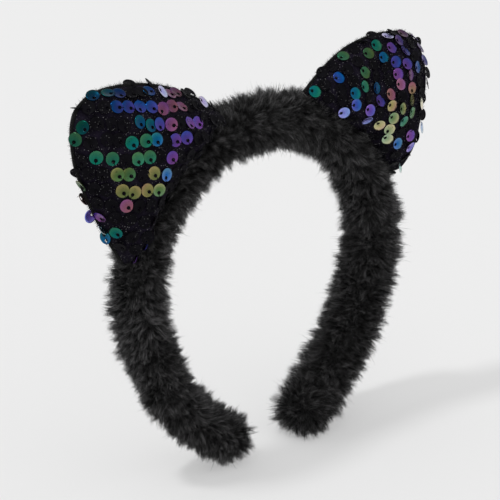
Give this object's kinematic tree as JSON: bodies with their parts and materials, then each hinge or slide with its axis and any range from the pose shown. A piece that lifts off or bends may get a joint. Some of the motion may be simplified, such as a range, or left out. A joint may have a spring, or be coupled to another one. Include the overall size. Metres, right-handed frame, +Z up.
{
  "type": "animal ears headband",
  "caption": "Springy padded headband in black faux fur with two stuffed cat ears that have iridescent flip sequins on their fronts.",
  "frame": {"origin": "on the surface that the two furry tips stand on, below the middle of the bounding box", "axes": "+Z is up, +X runs across the head from the left ear to the right ear as seen from the front, and the sequinned fronts of the ears face -Y"},
  "size_m": [0.1782, 0.0306, 0.1596],
  "materials": {
    "faux_fur": "matte",
    "wadding": "matte",
    "strip": "satin",
    "thread": "matte",
    "net_cloth": "matte",
    "back_cloth": "matte",
    "sequins": "gloss"
  },
  "bodies": {
    "crown": {"fur_sleeve_crown": "faux_fur", "wadding_crown": "wadding", "strip_crown": "strip"},
    "left_leg": {"fur_sleeve_left": "faux_fur", "wadding_left": "wadding", "strip_left": "strip", "sleeve_tie_left": "thread"},
    "right_leg": {"fur_sleeve_right": "faux_fur", "wadding_right": "wadding", "strip_right": "strip", "sleeve_tie_right": "thread"},
    "left_ear": {"left_ear_front_panel": "net_cloth", "left_ear_back_panel": "back_cloth", "left_ear_edge_seam": "thread", "left_ear_base_gusset": "back_cloth", "left_ear_stuffing": "wadding", "left_ear_sequins": "sequins", "left_ear_base_stitches": "thread"},
    "right_ear": {"right_ear_front_panel": "net_cloth", "right_ear_back_panel": "back_cloth", "right_ear_edge_seam": "thread", "right_ear_base_gusset": "back_cloth", "right_ear_stuffing": "wadding", "right_ear_sequins": "sequins", "right_ear_base_stitches": "thread"}
  },
  "joints": [
    {"name": "left_leg_flex", "type": "hinge", "parent": "crown", "child": "left_leg", "pos_m": [-0.01368, 0.00275, 0.13236], "axis": [0, 1, 0], "range_deg": [-4, 9], "stiffness_Nm_per_rad": 2},
    {"name": "right_leg_flex", "type": "hinge", "parent": "crown", "child": "right_leg", "pos_m": [0.01368, 0.00275, 0.13236], "axis": [0, -1, 0], "range_deg": [-4, 9], "stiffness_Nm_per_rad": 2},
    {"name": "left_ear_tilt", "type": "hinge", "parent": "left_leg", "child": "left_ear", "pos_m": [-0.04553, 0.00275, 0.11754], "axis": [0.7464, 0, 0.6655], "range_deg": [-12, 12], "stiffness_Nm_per_rad": 0.08},
    {"name": "right_ear_tilt", "type": "hinge", "parent": "right_leg", "child": "right_ear", "pos_m": [0.04553, 0.00275, 0.11754], "axis": [0.7464, 0, -0.6655], "range_deg": [-12, 12], "stiffness_Nm_per_rad": 0.08}
  ]
}
